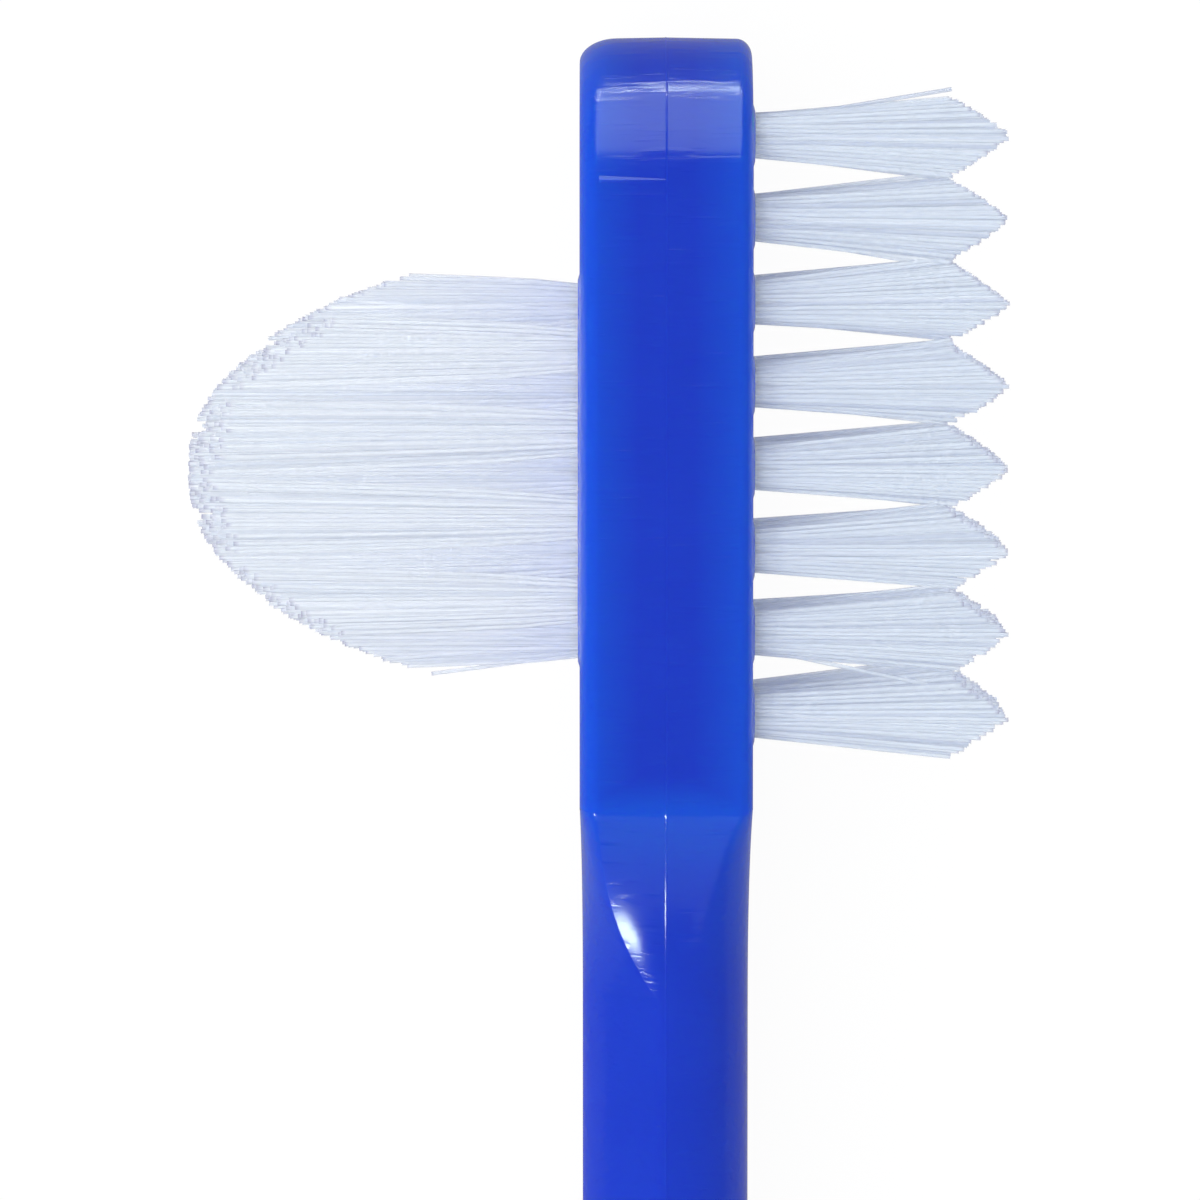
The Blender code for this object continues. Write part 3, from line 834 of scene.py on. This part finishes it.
def tuft_tree():
    """Geometry nodes for one tuft: filaments folded under the anchor, fanned out of the hole and trimmed."""
    tree = bpy.data.node_groups.new("folded_tuft", "GeometryNodeTree")
    for kind, names in TUFT_INPUTS.items():
        for name in names:
            tree.interface.new_socket(name, in_out="INPUT", socket_type=kind)
    tree.interface.new_socket("Tuft", in_out="OUTPUT", socket_type="NodeSocketGeometry")
    given = add_node(tree, "NodeGroupInput")
    known = dict(given.items())

    line = add_node(tree, "GeometryNodeCurvePrimitiveLine", {"End": (0, 0, 1)})["Curve"]
    dotted = add_node(tree, "GeometryNodeResampleCurve", {"Curve": line, "Count": 2 * TIP_AT + 1})["Curve"]
    geometry = add_node(
        tree, "GeometryNodeDuplicateElements", {"Geometry": dotted, "Amount": given["Filaments"]},
        domain="SPLINE",
    )["Geometry"]
    spot = add_node(tree, "GeometryNodeCurveOfPoint")
    known["strand"] = spot["Curve Index"]
    known["step"] = spot["Index in Curve"]
    add_formulas(tree, BUNDLE_FORMULAS, known)

    # Every filament end has its own lean, length and tone, and a few stray.
    chance = add_node(
        tree, "FunctionNodeRandomValue",
        {"Min": (-1, -1, 0), "Max": (1, 1, 1), "ID": known["end"], "Seed": given["Seed"]},
        data_type="FLOAT_VECTOR",
    )[RANDOM_VECTOR]
    known.update(add_node(tree, "ShaderNodeSeparateXYZ", {"Vector": chance}).items())
    known["stray"] = add_node(
        tree, "FunctionNodeRandomValue",
        {"Probability": given["Stray Share"], "ID": known["end"], "Seed": known["stray_seed"]},
        data_type="BOOLEAN",
    )[RANDOM_BOOLEAN]
    known["tone"] = add_node(
        tree, "FunctionNodeRandomValue", {"ID": known["end"], "Seed": known["tone_seed"]}
    )[RANDOM_FLOAT]
    add_formulas(tree, TRIM_FORMULAS, known)

    for name, value in (("along", known["free"]), ("tone", known["tone"])):
        geometry = add_node(
            tree, "GeometryNodeStoreNamedAttribute", {"Geometry": geometry, "Name": name, "Value": value},
            data_type="FLOAT", domain="POINT",
        )["Geometry"]
    place = add_node(tree, "ShaderNodeCombineXYZ", {axis: known[axis.lower()] for axis in "XYZ"})["Vector"]
    profile = add_node(
        tree, "GeometryNodeCurvePrimitiveCircle",
        {"Resolution": FILAMENT_SIDES, "Radius": known["filament_radius"]},
    )["Curve"]
    for kind, inputs in (
        ("GeometryNodeSetPosition", {"Position": place}),
        ("GeometryNodeCurveToMesh", {"Profile Curve": profile, "Fill Caps": True}),
        ("GeometryNodeSetShadeSmooth", {"Shade Smooth": True}),
        ("GeometryNodeRealizeInstances", {}),
        ("GeometryNodeSetMaterial", {"Material": given["Nylon"]}),
    ):
        geometry = add_node(tree, kind, {0: geometry, **inputs})[0]
    add_node(tree, "NodeGroupOutput", {"Tuft": geometry})
    return tree


def extruded_nylon(f, trim):
    """Extruded nylon filament: milky and half clear, some strands darker, with lilac-grey cut ends."""
    material, tree, shader = new_material("extruded_nylon")
    tone = add_node(tree, "ShaderNodeAttribute", attribute_name="tone")["Fac"]
    along = add_node(tree, "ShaderNodeAttribute", attribute_name="along")["Fac"]
    lightness = add_node(tree, "ShaderNodeMapRange", {"Value": tone, "From Max": f.shade_share})["Result"]
    near_tip = add_node(
        tree, "ShaderNodeMapRange", {"Value": along, "From Min": 1 - f.end_share, "To Max": tone}
    )["Result"]
    tint = trim.shade_colour
    for factor, following in ((lightness, trim.body_colour), (near_tip, f.tip_colour)):
        tint = add_node(
            tree, "ShaderNodeMix", {"Factor": factor, MIX_FIRST: tint, MIX_SECOND: following},
            data_type="RGBA",
        )[MIX_RESULT]
    roughness = add_node(
        tree, "ShaderNodeMapRange", {"Value": tone, "To Min": f.roughest, "To Max": f.smoothest}
    )["Result"]
    fill(shader, {
        "Base Color": tint, "Roughness": roughness, "IOR": 1.53, "Alpha": f.opacity,
        "Subsurface Weight": 1.0, "Subsurface Radius": EVEN_SCATTER, "Subsurface Scale": f.milkiness,
    })
    return material


def make_tuft(context, tree, node, side, t, trim, number, nylon):
    """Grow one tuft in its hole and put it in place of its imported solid."""
    f, h, a = context.scene.brush_filaments, context.scene.brush_handle, context.scene.brush_anchors
    y, z = hole_centre(node)
    values = {
        "Filaments": f.per_tuft,
        "Diameter": f.diameter,
        "Anchor Gap": (a.thickness + f.diameter) / 2,
        "Root Radius": (h.hole_diameter - f.diameter) / 2 - f.clearance,
        "Anchor Foot": (h.head_thickness - h.hole_web) / 2 - a.fold,
        "Fold Drop": a.fold - f.diameter,
        "Tip Radius": t.tip_radius,
        "Fan Power": 1.0,
        "Peak": t.peak,
        "Dome Power": 1.0,
        "Dome Half Length": 1.0,
        "Side Half Width": 1.0,
        "Across Head": z - MIDDLE_HEIGHT,
        "Tuft Lean": t.lean * (2 * (number * GOLDEN_SHARE % 1) - 1),
        "Tip Jitter": f.tip_jitter,
        "Cut Jitter": f.cut_jitter,
        "Stray Share": f.stray_share,
        "Stray Reach": f.stray_reach,
        "Mouth Share": f.mouth_share,
        "Seed": SEEDS_PER_TUFT * number,
        "Nylon": nylon,
        **trim,
    }
    item = put(node, bpy.data.meshes.new(node))
    grow = item.modifiers.new("grow", "NODES")
    grow.node_group = tree
    for socket in tree.interface.items_tree:
        if socket.in_out == "INPUT" and socket.name in values:
            grow[socket.identifier] = values[socket.name]
    mesh = evaluated_mesh(item)
    mesh.transform(out_of_face(side * h.head_thickness / 2, y, z, side))
    piece = add_piece(f"{node}_filaments", mesh, nylon, [node])
    # Half clear filaments let the light reach the ones below.
    piece.visible_shadow = False
    piece.visible_diffuse = False


def make_tufts(context, side, t, trims, first):
    """Grow the tufts of one face, each with its own trim, numbered from the first."""
    tree = tuft_tree()
    nylon = extruded_nylon(context.scene.brush_filaments, t)
    for number, (node, trim) in enumerate(trims.items(), first):
        make_tuft(context, tree, node, side, t, trim, number, nylon)


class DENTURE_BRUSH_OT_row_tufts(bpy.types.Operator):
    """Grow the short tufts and cut them to teeth, one tooth a row"""

    bl_idname = "denture_brush.row_tufts"
    bl_label = "Row tufts"

    def execute(self, context):
        t = context.scene.brush_row_trim
        trim = {"Fan Length": t.peak - t.drop, "Row Drop": t.drop}
        make_tufts(context, SIDES["row"], t, dict.fromkeys(FIELDS["row"], trim), 0)
        return {"FINISHED"}


class DENTURE_BRUSH_OT_dome_tufts(bpy.types.Operator):
    """Grow the long tufts and cut the cluster to a dome"""

    bl_idname = "denture_brush.dome_tufts"
    bl_label = "Domed cluster"

    def execute(self, context):
        t = context.scene.brush_dome_trim
        places = {node: hole_centre(node)[0] for node in FIELDS["dome"]}
        middle = (min(places.values()) + max(places.values())) / 2
        trim = {
            "Fan Length": t.peak, "Fan Power": t.fan_power, "Dome Drop": t.drop, "Dome Power": t.power,
            "Dome Half Length": t.half_length, "Side Drop": t.side_drop, "Side Half Width": t.half_width,
        }
        trims = {node: {**trim, "Along Head": y - middle} for node, y in places.items()}
        make_tufts(context, SIDES["dome"], t, trims, len(FIELDS["row"]))
        return {"FINISHED"}


# Anchors


def rolled_brass(a):
    """Rolled brass strip: warm metal with fine lines along the rolling direction."""
    material, tree, shader = new_material("rolled_brass")
    place = add_node(tree, "ShaderNodeTexCoord")["Object"]
    drawn = add_node(
        tree, "ShaderNodeMapping", {"Vector": place, "Scale": (1, 1, a.line_width / a.line_length)}
    )["Vector"]
    lines = add_node(tree, "ShaderNodeTexNoise", {"Vector": drawn, "Scale": 1 / a.line_width})["Fac"]
    roughness = add_node(
        tree, "ShaderNodeMapRange", {"Value": lines, "To Min": a.smoothest, "To Max": a.roughest}
    )["Result"]
    bump = add_node(tree, "ShaderNodeBump", {"Height": lines, "Distance": a.line_depth})["Normal"]
    fill(shader, {"Base Color": a.brass, "Metallic": 1.0, "Roughness": roughness, "Normal": bump})
    return material


def anchor_plate(a):
    """One sheared strip with softened edges, standing round its own centre."""
    bm = bmesh.new()
    bmesh.ops.create_cube(bm, size=1, matrix=Matrix.Diagonal((a.width, a.thickness, a.height, 1)))
    bmesh.ops.bevel(bm, geom=bm.edges, offset=a.corner, segments=2, profile=0.5, affect="EDGES")
    return mesh_from(bm, "anchor_plate")


class DENTURE_BRUSH_OT_anchors(bpy.types.Operator):
    """Drive a flat anchor into every hole, over the folds of its tuft"""

    bl_idname = "denture_brush.anchors"
    bl_label = "Anchors"

    def execute(self, context):
        a, h = context.scene.brush_anchors, context.scene.brush_handle
        brass = rolled_brass(a)
        depth = (h.head_thickness - h.hole_web) / 2 - a.fold - a.height / 2
        for field, nodes in FIELDS.items():
            side = SIDES[field]
            for node in nodes:
                y, z = hole_centre(node)
                mesh = anchor_plate(a)
                mesh.transform(out_of_face(side * (h.head_thickness / 2 - depth), y, z, side))
                solid = node.replace("_tuft_", "_anchor_")
                replaced = [solid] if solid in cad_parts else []
                add_piece(f"{solid}_plate", mesh, brass, replaced)
        return {"FINISHED"}


# Stage


def add_lamp(name, s, layer=0, layers=1):
    """A lamp that looks at the head, or one of its layers, wider or higher than the others."""
    radiance, turn, elevation, width, height = (
        getattr(s, f"{name}_{field}") for field in ("radiance", "turn", "elevation", "width", "height")
    )
    spans = (width - layer * s.window_fade, height - (layers - 1 - layer) * s.window_fade)
    level = math.cos(elevation)
    out = Vector((-math.sin(turn) * level, math.cos(turn) * level, math.sin(elevation)))
    light = bpy.data.lights.new(name, "AREA")
    light.shape = "ELLIPSE" if name == "spark" else "RECTANGLE"
    light.size, light.size_y = (2 * s.lamp_distance * math.tan(span / 2) for span in spans)
    fullness = math.pi / 4 if name == "spark" else 1
    light.energy = radiance / layers * light.size * light.size_y * fullness * math.pi
    lamp = put(name, light)
    lamp.location = Vector((0, 0, MIDDLE_HEIGHT)) + out * s.lamp_distance
    lamp.rotation_euler = out.to_track_quat("Z", "Y").to_euler()
    lamp.visible_camera = False
    lamp.visible_diffuse = name == "ceiling"
    lamp.visible_glossy = name != "ceiling"


def white_table(s):
    """Matt white table: it shows as white with a faint shadow, and as pale grey in reflections."""
    material, tree, shader = new_material("white_table")
    fill(shader, {"Base Color": s.floor_colour, "Roughness": 0.9})
    rays = add_node(tree, "ShaderNodeLightPath")
    straight = add_node(
        tree, "ShaderNodeMath", {0: rays["Is Camera Ray"], 1: rays["Is Transmission Ray"]},
        operation="MAXIMUM",
    )[0]
    plain = add_node(tree, "ShaderNodeMath", {0: straight, 1: 1 - s.shadow_share}, operation="MULTIPLY")[0]
    surface = shader.outputs["BSDF"]
    for factor, brightness in ((plain, 1.0), (rays["Is Glossy Ray"], s.floor_reflected)):
        cover = add_node(tree, "ShaderNodeEmission", {"Strength": brightness})["Emission"]
        surface = add_node(tree, "ShaderNodeMixShader", {0: factor, 1: surface, 2: cover})["Shader"]
    fill(tree.nodes["Material Output"], {"Surface": surface})
    return material


def surroundings(s):
    """A pale room: it lights most from beside the brush, looks dim in reflections, and is plain white to the
    camera."""
    world = bpy.data.worlds.new("pale_room")
    world.use_nodes = True
    tree = world.node_tree
    direction = add_node(tree, "ShaderNodeTexCoord")["Generated"]
    axes = add_node(tree, "ShaderNodeSeparateXYZ", {"Vector": direction})
    beside = add_node(tree, "ShaderNodeMath", {0: axes["X"], 1: 2}, operation="POWER")[0]
    horizon = add_node(
        tree, "ShaderNodeMapRange", {"Value": beside, "To Min": s.ends, "To Max": s.sides}
    )["Result"]
    overhead = add_node(
        tree, "ShaderNodeMapRange", {"Value": axes["Z"]}, interpolation_type="SMOOTHSTEP"
    )["Result"]
    evenly = add_node(
        tree, "ShaderNodeMix", {"Factor": overhead, "A": horizon, "B": s.zenith}, data_type="FLOAT"
    )["Result"]
    domed_side = add_node(
        tree, "ShaderNodeMapRange",
        {"Value": axes["X"], "From Min": -1.0, "To Min": 1 + s.lean, "To Max": 1 - s.lean},
    )["Result"]
    strength = add_node(tree, "ShaderNodeMath", {0: evenly, 1: domed_side}, operation="MULTIPLY")[0]
    rays = add_node(tree, "ShaderNodeLightPath")
    for ray, value in (("Is Glossy Ray", s.reflected), ("Is Camera Ray", 1.0)):
        strength = add_node(
            tree, "ShaderNodeMix", {"Factor": rays[ray], "A": strength, "B": value}, data_type="FLOAT"
        )["Result"]
    fill(tree.nodes["Background"], {"Color": (1, 1, 1, 1), "Strength": strength})
    return world


class DENTURE_BRUSH_OT_stage(bpy.types.Operator):
    """Lay the table and set the lamps, the surroundings and the camera"""

    bl_idname = "denture_brush.stage"
    bl_label = "Stage"

    def execute(self, context):
        s = context.scene.brush_stage
        bm = bmesh.new()
        bmesh.ops.create_grid(bm, x_segments=1, y_segments=1, size=s.floor_size / 2)
        floor = put("table", mesh_from(bm, "table"))
        floor.data.materials.append(white_table(s))

        for name in LAMPS:
            layers = s.window_layers if name == "window" else 1
            for layer in range(layers):
                add_lamp(name, s, layer, layers)
        context.scene.world = surroundings(s)

        target = Vector((s.view_side, s.view_centre, MIDDLE_HEIGHT))
        place = Vector((s.view_side, s.camera_along, MIDDLE_HEIGHT + s.view_distance))
        out = place - target
        camera_data = bpy.data.cameras.new("camera")
        camera_data.lens = camera_data.sensor_width * out.length / s.view_width
        camera_data.clip_start = s.near_clip
        camera = put("camera", camera_data)
        camera.location = place
        camera.rotation_euler.x = -math.atan2(out.y, out.z)
        context.scene.camera = camera
        context.scene.view_settings.view_transform = "Standard"
        return {"FINISHED"}


class DENTURE_BRUSH_PT_panel(bpy.types.Panel):
    """Steps that dress the brush, in order"""

    bl_idname = "DENTURE_BRUSH_PT_panel"
    bl_label = "Denture brush"
    bl_space_type = "VIEW_3D"
    bl_region_type = "UI"
    bl_category = "Denture brush"

    def draw(self, context):
        for step in STEPS:
            self.layout.operator(step.bl_idname)


SETTINGS = {
    "brush_handle": HandleSettings,
    "brush_filaments": FilamentSettings,
    "brush_row_trim": RowTrimSettings,
    "brush_dome_trim": DomeTrimSettings,
    "brush_anchors": AnchorSettings,
    "brush_stage": StageSettings,
}
STEPS = (
    DENTURE_BRUSH_OT_handle,
    DENTURE_BRUSH_OT_row_tufts,
    DENTURE_BRUSH_OT_dome_tufts,
    DENTURE_BRUSH_OT_anchors,
    DENTURE_BRUSH_OT_stage,
)


def register():
    """Make the settings, the steps and the panel known to Blender."""
    for name, group in SETTINGS.items():
        bpy.utils.register_class(group)
        setattr(bpy.types.Scene, name, PointerProperty(type=group))
    for item in (*STEPS, DENTURE_BRUSH_PT_panel):
        bpy.utils.register_class(item)


def unregister():
    """Take them away again, in reverse order."""
    for item in reversed((*STEPS, DENTURE_BRUSH_PT_panel)):
        bpy.utils.unregister_class(item)
    for name, group in reversed(SETTINGS.items()):
        delattr(bpy.types.Scene, name)
        bpy.utils.unregister_class(group)


def main():
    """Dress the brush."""
    register()
    bpy.ops.denture_brush.handle()
    bpy.ops.denture_brush.row_tufts()
    bpy.ops.denture_brush.dome_tufts()
    bpy.ops.denture_brush.anchors()
    bpy.ops.denture_brush.stage()


if __name__ == "__main__":
    main()
